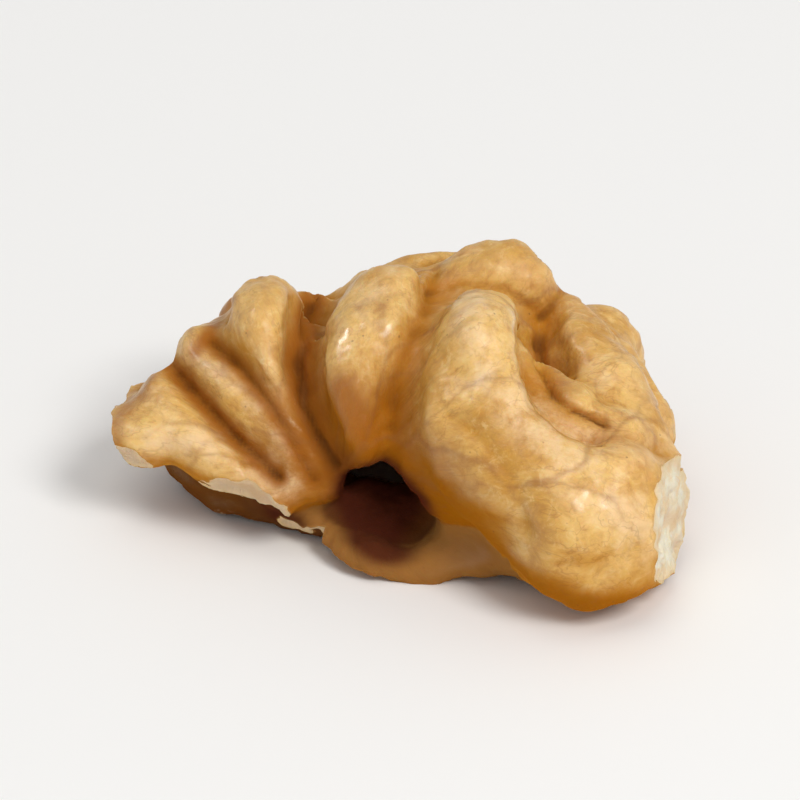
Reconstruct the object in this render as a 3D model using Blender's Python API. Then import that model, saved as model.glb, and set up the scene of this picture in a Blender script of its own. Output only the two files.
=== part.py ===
"""A walnut kernel: one half of the seed, lying on its inner side, in metres with +Z up.

It grew as one piece, so it is one object. Its two wings are bundles of rounded folds that run out
from the waist, where the shell's inner wall passed, and hollow pockets lie under both wings. The
right wing is nearly whole. The left wing's front edge and the tip of the right end are broken off.
"""

import bpy
import bmesh
import numpy as np
from mathutils import Matrix, Vector, noise

MM = 0.001

# The size of the mesh's cells before it is thinned, and the triangles that are left after that.
CELL = 0.42 * MM
MOST_TRIANGLES = 8600

# How far apart the balls of one fold lie, as a share of its least radius.
BALL_STEP = 0.3

# How far the folds wander at the front and at the back, and over what length, in millimetres.
WANDER_FRONT = 0.5
WANDER_BACK = 1.2
WANDER_LENGTH = 6.5

# Rounds of smoothing over the fused folds, and over the finished surface.
SOFTEN_FOLDS = 4
SOFTEN_SURFACE = 1

# How much the folds and valleys are drawn out from a copy smoothed by so many rounds.
DEEPEN_FRONT = 0.8
DEEPEN_BACK = 1.7
DEEPEN_ROUNDS = 16

# Unevenness of the surface: each a height and a wavelength in millimetres.
LUMPS = [(0.4, 4.2), (0.15, 1.9)]

# Winding grooves where the front view doesn't reach: depth, spacing and a share for their width.
GROOVE_DEPTH = 0.7
GROOVE_SPACING = 5.4
GROOVE_WIDTH = 0.1

# Waves of a torn face, heights and wavelengths in millimetres, and the cells along its side.
TEAR_WAVES = [(0.5, 3.4), (0.25, 1.3)]
TEAR_CELLS = 28

# Each fold is a rounded ridge through its stations: x, y, z and radius in millimetres. The waist
# is at x = -3, the left wing lies beyond it towards -X, and the front is towards -Y.
RIGHT_WING = {
    "front_lobe": [
        (3.8, 8.4, 10.8, 2.3),
        (3.5, 6.4, 9.9, 3.0),
        (4.4, 4.6, 8.3, 4.0),
        (6.4, 3.2, 6.8, 4.6),
        (8.6, 2.2, 5.3, 4.9),
        (9.6, 1.8, 4.6, 4.5),
    ],
    "front_bulge": [
        (8.6, 1.6, 5.2, 4.6),
        (10.7, 2.2, 4.2, 4.0),
        (12.0, 3.6, 3.6, 3.5),
    ],
    "lobe_flank": [
        (0.9, 7.4, 8.6, 2.5),
        (1.6, 5.8, 6.6, 2.6),
        (3.2, 4.6, 4.9, 2.8),
    ],
    "centre_fold": [
        (-0.6, 10.6, 10.9, 2.3),
        (-1.4, 8.6, 10.1, 2.6),
        (-2.3, 7.0, 8.6, 2.2),
        (-2.6, 6.0, 6.7, 1.9),
    ],
    "top_fold": [
        (-0.6, 11.6, 10.2, 2.0),
        (2.6, 13.2, 9.8, 1.9),
        (5.8, 13.8, 9.8, 2.2),
        (7.4, 13.2, 9.0, 1.9),
    ],
    "crescent": [
        (8.2, 11.4, 9.0, 1.9),
        (9.6, 9.2, 8.3, 2.2),
        (10.5, 7.0, 7.1, 2.4),
        (11.2, 4.8, 5.8, 2.6),
    ],
    "right_side": [
        (8.2, 11.8, 7.0, 2.4),
        (10.1, 10.8, 5.8, 2.4),
        (11.4, 9.4, 4.2, 2.6),
        (11.4, 9.0, 2.3, 2.4),
    ],
    "right_corner": [
        (6.8, 13.8, 7.6, 2.1),
        (8.8, 13.8, 6.2, 2.3),
        (9.6, 15.4, 4.6, 2.4),
        (8.2, 17.2, 3.4, 2.3),
        (7.8, 17.0, 2.2, 2.1),
    ],
    "corner_low": [
        (11.3, 9.4, 2.6, 2.3),
        (11.2, 12.2, 2.7, 2.2),
        (10.2, 14.2, 2.2, 2.0),
    ],
    "back_ridge": [
        (4.6, 15.4, 8.4, 2.1),
        (6.4, 17.2, 6.8, 2.1),
        (4.6, 18.9, 6.0, 2.2),
        (1.8, 18.4, 7.0, 2.3),
        (-0.6, 16.6, 7.8, 2.1),
        (-2.8, 17.2, 6.6, 2.1),
    ],
    "back_top": [
        (-0.8, 13.4, 9.0, 1.9),
        (1.6, 15.4, 8.9, 2.0),
        (3.0, 15.8, 8.6, 1.9),
    ],
    "knuckle_right": [
        (5.4, 19.2, 4.0, 2.3),
        (5.2, 18.6, 2.2, 2.2),
    ],
    "knuckle_middle": [
        (0.9, 20.2, 4.5, 2.5),
        (1.2, 19.8, 2.3, 2.3),
    ],
    "knuckle_left": [
        (-3.2, 18.9, 4.1, 2.3),
        (-3.0, 18.6, 2.2, 2.2),
    ],
    "inner_margin": [
        (-6.4, 8.0, 1.9, 1.2),
        (-4.6, 6.5, 1.3, 1.1),
        (-3.2, 4.9, 0.9, 1.0),
        (-1.6, 3.7, 0.7, 1.2),
        (0.4, 3.2, 0.5, 0.9),
        (3.0, 3.8, 1.3, 1.6),
        (6.0, 3.6, 2.6, 2.6),
    ],
}
LEFT_WING = {
    "left_crown": [
        (-6.2, 12.6, 9.4, 2.2),
        (-6.4, 10.8, 9.4, 2.4),
        (-6.1, 8.8, 7.9, 2.1),
        (-5.3, 7.0, 6.0, 1.7),
        (-4.4, 5.8, 4.2, 1.4),
    ],
    "ridge_high": [
        (-9.6, 11.4, 7.6, 1.7),
        (-8.6, 9.4, 7.1, 1.6),
        (-6.9, 7.4, 5.7, 1.4),
        (-5.2, 6.0, 4.2, 1.2),
    ],
    "ridge_low": [
        (-11.8, 9.8, 5.9, 1.6),
        (-10.8, 7.8, 5.2, 1.7),
        (-8.8, 6.3, 4.4, 1.6),
        (-6.4, 5.3, 3.2, 1.3),
    ],
    "left_tip": [
        (-12.6, 8.0, 5.0, 1.6),
        (-14.0, 9.0, 4.7, 1.4),
        (-13.4, 10.8, 4.2, 1.4),
        (-11.4, 12.4, 3.8, 1.7),
    ],
    "back_left_high": [
        (-7.2, 13.2, 7.8, 2.0),
        (-8.8, 13.2, 6.0, 2.1),
        (-9.8, 12.8, 3.8, 2.0),
        (-9.8, 13.2, 2.2, 2.0),
    ],
    "back_left_low": [
        (-4.4, 14.6, 8.2, 2.0),
        (-6.0, 16.6, 6.4, 2.3),
        (-7.2, 17.2, 4.0, 2.5),
        (-7.0, 16.6, 2.1, 2.2),
    ],
}
CORE = {
    "rim": [
        (-9.8, 13.4, 2.2, 1.8),
        (-6.4, 16.2, 2.0, 1.9),
        (-2.0, 18.2, 2.0, 1.9),
        (2.4, 19.2, 2.0, 1.9),
        (6.4, 17.4, 2.0, 1.9),
        (9.6, 13.4, 2.1, 2.0),
        (10.6, 9.2, 2.1, 2.0),
        (10.8, 5.0, 2.6, 2.4),
    ],
    "waist": [
        (-8.6, 12.0, 5.8, 2.2),
        (-4.0, 12.0, 6.6, 2.4),
        (1.0, 11.4, 7.6, 3.0),
        (6.0, 10.4, 7.0, 3.4),
    ],
    "right_core": [
        (4.0, 8.0, 6.2, 3.4),
        (7.8, 8.2, 5.6, 3.3),
        (7.2, 12.8, 5.2, 2.9),
        (3.0, 15.2, 5.8, 2.8),
        (-1.6, 15.6, 5.0, 2.4),
    ],
    "inner_wall": [
        (-10.6, 11.4, 2.0, 1.7),
        (-8.8, 9.8, 1.5, 1.8),
        (-6.2, 8.8, 1.4, 1.8),
        (-3.6, 8.0, 1.4, 1.9),
        (-1.4, 7.0, 1.2, 2.0),
        (0.8, 6.9, 1.3, 2.0),
        (2.4, 7.6, 2.0, 2.0),
    ],
    "wing_floor": [
        (-11.2, 9.2, 4.2, 1.4),
        (-8.6, 8.2, 3.8, 1.6),
        (-6.0, 7.6, 3.2, 1.5),
    ],
}
HOLLOWS = {
    "arch": [
        (-0.8, -1.0, 3.3, 1.8),
        (-1.0, 3.4, 3.5, 1.9),
        (-1.3, 5.2, 3.8, 1.9),
        (-1.5, 6.8, 4.5, 1.5),
    ],
    "under_wing": [
        (-13.4, 7.4, 0.6, 2.0),
        (-10.4, 5.0, 0.8, 2.4),
        (-7.4, 4.2, 0.4, 2.4),
    ],
    "waist_channel": [
        (-1.6, 13.4, 1.8, 2.5),
        (-1.7, 14.6, 1.4, 2.5),
        (-1.6, 15.8, 0.2, 2.4),
    ],
    "right_pocket": [
        (1.4, 12.0, 1.6, 2.4),
        (4.6, 11.4, 1.4, 2.8),
        (7.4, 10.8, 0.4, 2.4),
    ],
    "right_pocket_back": [
        (4.2, 11.6, 1.2, 2.4),
        (4.2, 14.8, 0.0, 2.1),
    ],
    "right_pocket_roof": [
        (2.6, 12.3, 2.9, 2.9),
        (5.4, 12.1, 2.9, 3.0),
    ],
    "left_pocket": [
        (-2.6, 13.2, 1.6, 2.4),
        (-5.6, 13.0, 1.4, 2.4),
        (-8.2, 12.6, 0.6, 2.0),
    ],
}

# What a view from the front and above shows is drawn on that view's plane: x, and v, the height
# up the slanted view. A vertex at x, y, z is seen at x, VIEW_Y * y + VIEW_Z * z.
VIEW_Y = 0.53
VIEW_Z = 0.848

# Furrows between the folds: depth, half width, then the points x, v of the line, in millimetres.
FURROWS = {
    "wing_to_centre": (
        1.5, 0.8, [(-4.2, 16.6), (-4.8, 14.6), (-5.2, 12.4), (-4.9, 10.4), (-4.2, 8.6), (-3.4, 7.2)],
    ),
    "centre_to_lobe": (
        0.5, 0.8, [(1.6, 17.0), (1.3, 15.2), (0.4, 13.6), (-0.4, 11.4), (-0.6, 9.2)],
    ),
    "lobe_pit": (
        1.5, 0.8, [(6.8, 13.6), (6.8, 12.4), (7.2, 10.9), (8.2, 9.9), (9.8, 9.3)],
    ),
    "crescent_to_bulge": (
        0.5, 0.6, [(8.4, 9.9), (10.0, 9.3), (11.6, 8.5), (13.0, 7.8)],
    ),
    "top_to_crescent": (
        0.8, 0.6, [(6.9, 14.6), (7.6, 15.4), (8.4, 16.6)],
    ),
    "under_top_fold": (
        0.5, 0.6, [(1.4, 15.9), (3.0, 16.3), (5.0, 16.0), (6.6, 15.0)],
    ),
    "crown_to_ridges": (
        0.8, 0.55, [(-9.6, 13.4), (-8.0, 12.0), (-6.6, 10.2), (-5.3, 8.2), (-4.4, 6.6)],
    ),
    "between_ridges": (
        0.9, 0.55, [(-11.6, 12.2), (-10.0, 10.4), (-8.2, 8.5), (-6.2, 6.6)],
    ),
    "bulge_crease": (
        0.35, 0.9, [(2.2, 9.8), (4.0, 8.4), (5.6, 6.2), (6.2, 4.0)],
    ),
}

# Swellings and dents on the same view: x, v, radius and height in millimetres.
SWELLINGS = [
    (3.6, 14.2, 1.8, 0.7),
    (3.6, 11.7, 1.0, -0.3),
    (7.2, 11.9, 1.3, -0.6),
    (9.2, 4.4, 3.0, 0.5),
    (4.6, 10.6, 2.0, 0.3),
    (-0.8, 15.6, 1.4, 0.3),
    (-2.7, 11.2, 1.3, 0.25),
    (2.6, 11.9, 1.1, -0.35),
    (6.6, 8.6, 1.4, -0.3),
    (10.8, 11.9, 1.2, 0.3),
    (12.2, 6.0, 1.3, -0.3),
    (-7.2, 14.8, 1.2, 0.25),
    (-11.2, 8.6, 1.5, 0.25),
]

# Torn faces: a point on the face, the way it looks and the cutting block's size in millimetres.
BREAKS = {
    "right_break": ((13.3, 2.5, 4.0), (0.96, -0.22, 0.06), 20),
    "wing_break": ((-13.2, 6.2, 5.2), (-0.32, -0.75, -0.58), 18),
    "tip_break": ((-13.9, 10.0, 5.0), (-0.93, 0.1, -0.35), 18),
}

# The height at which the lowest folds are cut to small flat spots, and the cutting block's size.
REST_LEVEL = 0.0
GROUND_SIZE = 60.0

SKIN_COLOUR = (0.56, 0.34, 0.14, 1.0)
SKIN_ROUGHNESS = 0.5


def along(stations, share):
    """The point and radius at a share, from 0 to 1, of the smooth curve through the stations."""
    last = len(stations) - 1
    place = min(share * last, last - 1e-9)
    index = int(place)
    t = place - index
    near = [stations[max(0, min(last, index + k))] for k in (-1, 0, 1, 2)]
    a, b, c, d = (Vector(s[:3]) for s in near)
    bend = (2 * a - 5 * b + 4 * c - d) * t**2 + (3 * b - a - 3 * c + d) * t**3
    return 0.5 * (2 * b + (c - a) * t + bend), near[1][3] + (near[2][3] - near[1][3]) * t


def fold_mesh(stations):
    """A fold as a chain of overlapping balls."""
    length = sum((Vector(b[:3]) - Vector(a[:3])).length for a, b in zip(stations, stations[1:]))
    least = min(s[3] for s in stations)
    count = max(2, round(length / (least * BALL_STEP)))
    bm = bmesh.new()
    for k in range(count + 1):
        point, radius = along(stations, k / count)
        place = Matrix.Translation(point * MM)
        bmesh.ops.create_icosphere(bm, subdivisions=3, radius=radius * MM, matrix=place)
    mesh = bpy.data.meshes.new("fold")
    bm.to_mesh(mesh)
    bm.free()
    return mesh


def fused(name, *groups):
    """One closed body of all the folds in the groups, as an object."""
    bm = bmesh.new()
    for group in groups:
        for stations in group.values():
            fold = fold_mesh(stations)
            bm.from_mesh(fold)
            bpy.data.meshes.remove(fold)
    body = object_from(name, bm)
    add_remesh(body)
    apply_modifiers(body)
    return body


def add_remesh(body):
    remesh = body.modifiers.new("Even cells", "REMESH")
    remesh.mode = "VOXEL"
    remesh.voxel_size = CELL


def add_difference(body, cutter):
    cut = body.modifiers.new("Cut", "BOOLEAN")
    cut.operation = "DIFFERENCE"
    cut.solver = "EXACT"
    cut.object = cutter


def add_smoothing(body, times):
    smooth = body.modifiers.new("Soften", "SMOOTH")
    smooth.factor = 0.5
    smooth.iterations = times


def apply_modifiers(body):
    """The body's mesh becomes what its modifiers make of it."""
    graph = bpy.context.evaluated_depsgraph_get()
    old = body.data
    made = bpy.data.meshes.new_from_object(body.evaluated_get(graph), depsgraph=graph)
    body.modifiers.clear()
    body.data = made
    bpy.data.meshes.remove(old)


def vertex_arrays(mesh):
    """The places of the vertices in millimetres, and their normals."""
    count = len(mesh.vertices)
    places = np.empty(count * 3)
    normals = np.empty(count * 3)
    mesh.vertices.foreach_get("co", places)
    mesh.vertex_normals.foreach_get("vector", normals)
    return places.reshape(-1, 3) / MM, normals.reshape(-1, 3)


def set_places(mesh, places):
    mesh.vertices.foreach_set("co", (places * MM).ravel())
    mesh.update()


def noise_at(places, wavelength, seed):
    """Smooth noise from about -1 to 1 at each place."""
    shift = Vector((seed * 17.3, seed * 5.1, seed * 9.7))
    return np.array([noise.noise(Vector(p) / wavelength + shift) for p in places])


def smooth_step(low, high, value):
    t = np.clip((value - low) / (high - low), 0.0, 1.0)
    return t * t * (3 - 2 * t)


def line_distance(points, line):
    """How far each point of the view lies from the line through the line's points."""
    nearest = np.full(len(points), 1e9)
    for start, end in zip(np.array(line[:-1]), np.array(line[1:])):
        step = end - start
        share = np.clip((points - start) @ step / (step @ step), 0, 1)
        nearest = np.minimum(nearest, np.linalg.norm(points - start - share[:, None] * step, axis=1))
    return nearest


def bend_folds(body):
    """The folds wander a little, more at the back than at the front."""
    places, _ = vertex_arrays(body.data)
    amount = WANDER_FRONT + (WANDER_BACK - WANDER_FRONT) * smooth_step(11.0, 16.0, places[:, 1])
    shift = np.stack([noise_at(places, WANDER_LENGTH, seed) for seed in (1, 2, 3)], axis=1)
    set_places(body.data, places + shift * amount[:, None])


def deepen_folds(body):
    """Ridges rise and the valleys between them sink, away from a smoothed copy of the surface."""
    places, _ = vertex_arrays(body.data)
    edges = np.empty(len(body.data.edges) * 2, dtype=int)
    body.data.edges.foreach_get("vertices", edges)
    first, second = edges[0::2], edges[1::2]
    around = np.bincount(edges, minlength=len(places))[:, None]
    soft = places
    for _ in range(DEEPEN_ROUNDS):
        total = np.zeros_like(soft)
        np.add.at(total, first, soft[second])
        np.add.at(total, second, soft[first])
        soft = (soft + total / around) / 2
    amount = DEEPEN_FRONT + (DEEPEN_BACK - DEEPEN_FRONT) * smooth_step(10.0, 14.0, places[:, 1])
    set_places(body.data, places + amount[:, None] * (places - soft))


def furrows_and_swellings(places, facing):
    """The height that the front view's furrows and swellings give to each place."""
    seen = np.stack([places[:, 0], VIEW_Y * places[:, 1] + VIEW_Z * places[:, 2]], axis=1)
    height = np.zeros(len(places))
    for depth, width, line in FURROWS.values():
        height -= depth * np.exp(-((line_distance(seen, line) / width) ** 2))
    for x, v, radius, rise in SWELLINGS:
        apart = np.linalg.norm(seen - np.array([x, v]), axis=1)
        height += rise * np.exp(-((apart / radius) ** 2))
    return height * facing


def shape_surface(body):
    """Furrows and swellings as seen from the front, and uneven folds all round."""
    places, normals = vertex_arrays(body.data)
    facing = smooth_step(-0.05, 0.3, normals[:, 2] * VIEW_Y - normals[:, 1] * VIEW_Z)
    height = furrows_and_swellings(places, facing)
    for seed, (rise, wavelength) in enumerate(LUMPS, start=4):
        height += rise * noise_at(places, wavelength, seed)
    grooves = np.exp(-((noise_at(places, GROOVE_SPACING, 6) / GROOVE_WIDTH) ** 2))
    height -= GROOVE_DEPTH * grooves * (1 - facing)
    set_places(body.data, places + normals * height[:, None])


def object_from(name, bm):
    """A new object in the scene with the mesh that bm holds."""
    mesh = bpy.data.meshes.new(name)
    bm.to_mesh(mesh)
    bm.free()
    body = bpy.data.objects.new(name, mesh)
    bpy.context.scene.collection.objects.link(body)
    return body


def wavy_cutter(name, centre, normal, size):
    """A block whose near face, at the centre and looking against the normal, is uneven like a tear."""
    bm = bmesh.new()
    bmesh.ops.create_grid(bm, x_segments=TEAR_CELLS, y_segments=TEAR_CELLS, size=size / 2 * MM)
    for vert in bm.verts:
        place = vert.co / MM
        vert.co.z = sum(rise * noise.noise(place / length) for rise, length in TEAR_WAVES) * MM
    raised = bmesh.ops.extrude_face_region(bm, geom=list(bm.faces))
    top = [item for item in raised["geom"] if isinstance(item, bmesh.types.BMVert)]
    bmesh.ops.translate(bm, verts=top, vec=(0, 0, size / 2 * MM))
    bmesh.ops.recalc_face_normals(bm, faces=bm.faces)
    body = object_from(name, bm)
    turn = Vector(normal).to_track_quat("Z", "Y").to_matrix().to_4x4()
    body.data.transform(Matrix.Translation(Vector(centre) * MM) @ turn)
    return body


def break_off(body):
    """The torn ends, each one a wavy face through the folds."""
    cutters = [wavy_cutter(name, *how) for name, how in BREAKS.items()]
    for cutter in cutters:
        add_difference(body, cutter)
    apply_modifiers(body)
    for cutter in cutters:
        bpy.data.objects.remove(cutter)


def thin_out(body):
    """Fewer triangles where the surface is plain, down to MOST_TRIANGLES."""
    add_triangulation(body)
    apply_modifiers(body)
    thin = body.modifiers.new("Fewer triangles", "DECIMATE")
    thin.ratio = min(1.0, MOST_TRIANGLES / len(body.data.polygons))
    apply_modifiers(body)


def add_triangulation(body):
    split = body.modifiers.new("Triangles", "TRIANGULATE")
    split.quad_method = "BEAUTY"
    split.ngon_method = "BEAUTY"


def cut_level(body):
    """Small flat spots where the kernel's lowest folds rest."""
    bm = bmesh.new()
    bmesh.ops.create_cube(bm, size=GROUND_SIZE * MM)
    bmesh.ops.translate(bm, verts=bm.verts, vec=(0, 0, (REST_LEVEL - GROUND_SIZE / 2) * MM))
    ground = object_from("ground", bm)
    add_difference(body, ground)
    add_triangulation(body)
    apply_modifiers(body)
    bpy.data.objects.remove(ground)


def centre_on_floor(body):
    """The origin goes to the middle of the bounding box's bottom."""
    places, _ = vertex_arrays(body.data)
    middle = (places.min(axis=0) + places.max(axis=0)) / 2
    middle[2] = REST_LEVEL
    set_places(body.data, places - middle)


def skin_material():
    material = bpy.data.materials.new("kernel_skin")
    material.use_nodes = True
    shader = material.node_tree.nodes["Principled BSDF"]
    shader.inputs["Base Color"].default_value = SKIN_COLOUR
    shader.inputs["Roughness"].default_value = SKIN_ROUGHNESS
    shader.inputs["Metallic"].default_value = 0.0
    return material


def whole_kernel():
    """The folds with the hollow under them, before anything is broken off."""
    kernel = fused("kernel", RIGHT_WING, LEFT_WING, CORE)
    bend_folds(kernel)
    hollow = fused("hollow", HOLLOWS)
    add_difference(kernel, hollow)
    add_remesh(kernel)
    add_smoothing(kernel, SOFTEN_FOLDS)
    apply_modifiers(kernel)
    bpy.data.objects.remove(hollow)
    deepen_folds(kernel)
    shape_surface(kernel)
    add_remesh(kernel)
    add_smoothing(kernel, SOFTEN_SURFACE)
    apply_modifiers(kernel)
    return kernel


def main():
    for thing in list(bpy.data.objects):
        bpy.data.objects.remove(thing)
    kernel = whole_kernel()
    break_off(kernel)
    thin_out(kernel)
    cut_level(kernel)
    centre_on_floor(kernel)
    kernel.data.materials.clear()
    kernel.data.materials.append(skin_material())


main()
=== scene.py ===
import heapq
import math

import bmesh
import bpy
import numpy as np
from mathutils import Matrix, Vector, noise


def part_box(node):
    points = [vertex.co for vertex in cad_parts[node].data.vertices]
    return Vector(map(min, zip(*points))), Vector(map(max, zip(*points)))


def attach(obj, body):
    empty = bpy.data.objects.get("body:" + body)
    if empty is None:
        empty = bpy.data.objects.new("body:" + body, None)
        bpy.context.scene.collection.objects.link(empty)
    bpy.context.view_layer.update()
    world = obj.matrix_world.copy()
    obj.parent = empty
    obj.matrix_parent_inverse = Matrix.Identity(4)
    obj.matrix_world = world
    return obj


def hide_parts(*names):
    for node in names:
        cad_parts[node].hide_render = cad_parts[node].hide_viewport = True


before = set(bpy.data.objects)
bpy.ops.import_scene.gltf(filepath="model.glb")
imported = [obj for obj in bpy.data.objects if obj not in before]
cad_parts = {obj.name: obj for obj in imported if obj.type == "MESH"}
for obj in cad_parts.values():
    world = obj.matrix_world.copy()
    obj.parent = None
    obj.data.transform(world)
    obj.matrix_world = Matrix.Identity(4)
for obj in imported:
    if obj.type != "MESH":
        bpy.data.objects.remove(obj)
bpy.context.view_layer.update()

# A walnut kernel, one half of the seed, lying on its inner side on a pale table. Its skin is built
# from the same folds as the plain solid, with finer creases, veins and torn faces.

MM = 0.001

# The size of the cells in which the folds are fused, and of those of the finished skin.
CELL = 0.42 * MM
FINE_CELL = 0.178 * MM

# How far apart the balls of one fold lie, as a share of its least radius.
BALL_STEP = 0.3

# How far the folds wander at the front and at the back, and over what length, in millimetres.
WANDER_FRONT = 0.5
WANDER_BACK = 1.2
WANDER_LENGTH = 6.5

# Rounds of smoothing over the fused folds, over the shaped surface and over the fine skin.
SOFTEN_FOLDS = 4
SOFTEN_SURFACE = 1
SOFTEN_SKIN = 2

# How much the folds and valleys are drawn out from a copy smoothed by so many rounds.
DEEPEN_FRONT = 0.8
DEEPEN_BACK = 1.7
DEEPEN_ROUNDS = 16

# Unevenness of the folds: each a height and a wavelength in millimetres.
LUMPS = [(0.4, 4.2), (0.15, 1.9)]

# Winding grooves where the front view doesn't reach: depth, spacing and a share for their width.
GROOVE_DEPTH = 0.7
GROOVE_SPACING = 5.4
GROOVE_WIDTH = 0.1
GROOVE_SEED = 6

# The sharp crease at the bottom of each furrow and of each winding groove, as a share of its
# depth and of its width.
CREASE_DEPTH = 0.3
CREASE_WIDTH = 0.34

# Finer winding creases where the front view doesn't reach: depth, spacing, a share for their width
# and how dark their painted shade is. The seed starts the noise that they follow.
BACK_CREASES = [(0.34, 3.1, 0.1, 0.75), (0.16, 1.7, 0.1, 0.4)]
BACK_CREASE_SEED = 31

# How much wider than the grooves their painted shade is.
GROOVE_SHADE_SPREAD = 1.6

# Fine puckers of the dry skin: height and wavelength in millimetres. The drawn ones run out from
# the root of the veins, and their second number counts them over a turn of that root.
PUCKERS = [(0.08, 1.15), (0.045, 0.6)]
DRAWN_PUCKERS = (0.085, 10.0)

# Waves of a torn face, heights and wavelengths in millimetres, and the cells along its side.
TEAR_WAVES = [(0.5, 3.4), (0.25, 1.3), (0.16, 0.62), (0.07, 0.3)]
TEAR_CELLS = 112

# Each fold is a rounded ridge through its stations: x, y, z and radius in millimetres. The waist
# is at x = -3, the left wing lies beyond it towards -X, and the front is towards -Y.
RIGHT_WING = {
    "front_lobe": [
        (3.8, 8.4, 10.8, 2.3),
        (3.5, 6.4, 9.9, 3.0),
        (4.4, 4.6, 8.3, 4.0),
        (6.4, 3.2, 6.8, 4.6),
        (8.6, 2.2, 5.3, 4.9),
        (9.6, 1.8, 4.6, 4.5),
    ],
    "front_bulge": [
        (8.6, 1.6, 5.2, 4.6),
        (10.7, 2.2, 4.2, 4.0),
        (12.0, 3.6, 3.6, 3.5),
    ],
    "lobe_flank": [
        (0.9, 7.4, 8.6, 2.5),
        (1.6, 5.8, 6.6, 2.6),
        (3.2, 4.6, 4.9, 2.8),
    ],
    "centre_fold": [
        (-0.6, 10.6, 10.9, 2.3),
        (-1.4, 8.6, 10.1, 2.6),
        (-2.3, 7.0, 8.6, 2.2),
        (-2.6, 6.0, 6.7, 1.9),
    ],
    "top_fold": [
        (-0.6, 11.6, 10.2, 2.0),
        (2.6, 13.2, 9.8, 1.9),
        (5.8, 13.8, 9.8, 2.2),
        (7.4, 13.2, 9.0, 1.9),
    ],
    "crescent": [
        (8.2, 11.4, 9.0, 1.9),
        (9.6, 9.2, 8.3, 2.2),
        (10.5, 7.0, 7.1, 2.4),
        (11.2, 4.8, 5.8, 2.6),
    ],
    "right_side": [
        (8.2, 11.8, 7.0, 2.4),
        (10.1, 10.8, 5.8, 2.4),
        (11.4, 9.4, 4.2, 2.6),
        (11.4, 9.0, 2.3, 2.4),
    ],
    "right_corner": [
        (6.8, 13.8, 7.6, 2.1),
        (8.8, 13.8, 6.2, 2.3),
        (9.6, 15.4, 4.6, 2.4),
        (8.2, 17.2, 3.4, 2.3),
        (7.8, 17.0, 2.2, 2.1),
    ],
    "corner_low": [
        (11.3, 9.4, 2.6, 2.3),
        (11.2, 12.2, 2.7, 2.2),
        (10.2, 14.2, 2.2, 2.0),
    ],
    "back_ridge": [
        (4.6, 15.4, 8.4, 2.1),
        (6.4, 17.2, 6.8, 2.1),
        (4.6, 18.9, 6.0, 2.2),
        (1.8, 18.4, 7.0, 2.3),
        (-0.6, 16.6, 7.8, 2.1),
        (-2.8, 17.2, 6.6, 2.1),
    ],
    "back_top": [
        (-0.8, 13.4, 9.0, 1.9),
        (1.6, 15.4, 8.9, 2.0),
        (3.0, 15.8, 8.6, 1.9),
    ],
    "knuckle_right": [
        (5.4, 19.2, 4.0, 2.3),
        (5.2, 18.6, 2.2, 2.2),
    ],
    "knuckle_middle": [
        (0.9, 20.2, 4.5, 2.5),
        (1.2, 19.8, 2.3, 2.3),
    ],
    "knuckle_left": [
        (-3.2, 18.9, 4.1, 2.3),
        (-3.0, 18.6, 2.2, 2.2),
    ],
    "inner_margin": [
        (-6.4, 8.0, 1.9, 1.2),
        (-4.6, 6.5, 1.3, 1.1),
        (-3.2, 4.9, 0.9, 1.0),
        (-1.6, 3.7, 0.7, 1.2),
        (0.4, 3.2, 0.5, 0.9),
        (3.0, 3.8, 1.3, 1.6),
        (6.0, 3.6, 2.6, 2.6),
    ],
}
LEFT_WING = {
    "left_crown": [
        (-6.2, 12.6, 9.4, 2.2),
        (-6.4, 10.8, 9.4, 2.4),
        (-6.1, 8.8, 7.9, 2.1),
        (-5.3, 7.0, 6.0, 1.7),
        (-4.4, 5.8, 4.2, 1.4),
    ],
    "ridge_high": [
        (-9.6, 11.4, 7.6, 1.7),
        (-8.6, 9.4, 7.1, 1.6),
        (-6.9, 7.4, 5.7, 1.4),
        (-5.2, 6.0, 4.2, 1.2),
    ],
    "ridge_low": [
        (-11.8, 9.8, 5.9, 1.6),
        (-10.8, 7.8, 5.2, 1.7),
        (-8.8, 6.3, 4.4, 1.6),
        (-6.4, 5.3, 3.2, 1.3),
    ],
    "left_tip": [
        (-12.6, 8.0, 5.0, 1.6),
        (-14.0, 9.0, 4.7, 1.4),
        (-13.4, 10.8, 4.2, 1.4),
        (-11.4, 12.4, 3.8, 1.7),
    ],
    "back_left_high": [
        (-7.2, 13.2, 7.8, 2.0),
        (-8.8, 13.2, 6.0, 2.1),
        (-9.8, 12.8, 3.8, 2.0),
        (-9.8, 13.2, 2.2, 2.0),
    ],
    "back_left_low": [
        (-4.4, 14.6, 8.2, 2.0),
        (-6.0, 16.6, 6.4, 2.3),
        (-7.2, 17.2, 4.0, 2.5),
        (-7.0, 16.6, 2.1, 2.2),
    ],
}
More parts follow.
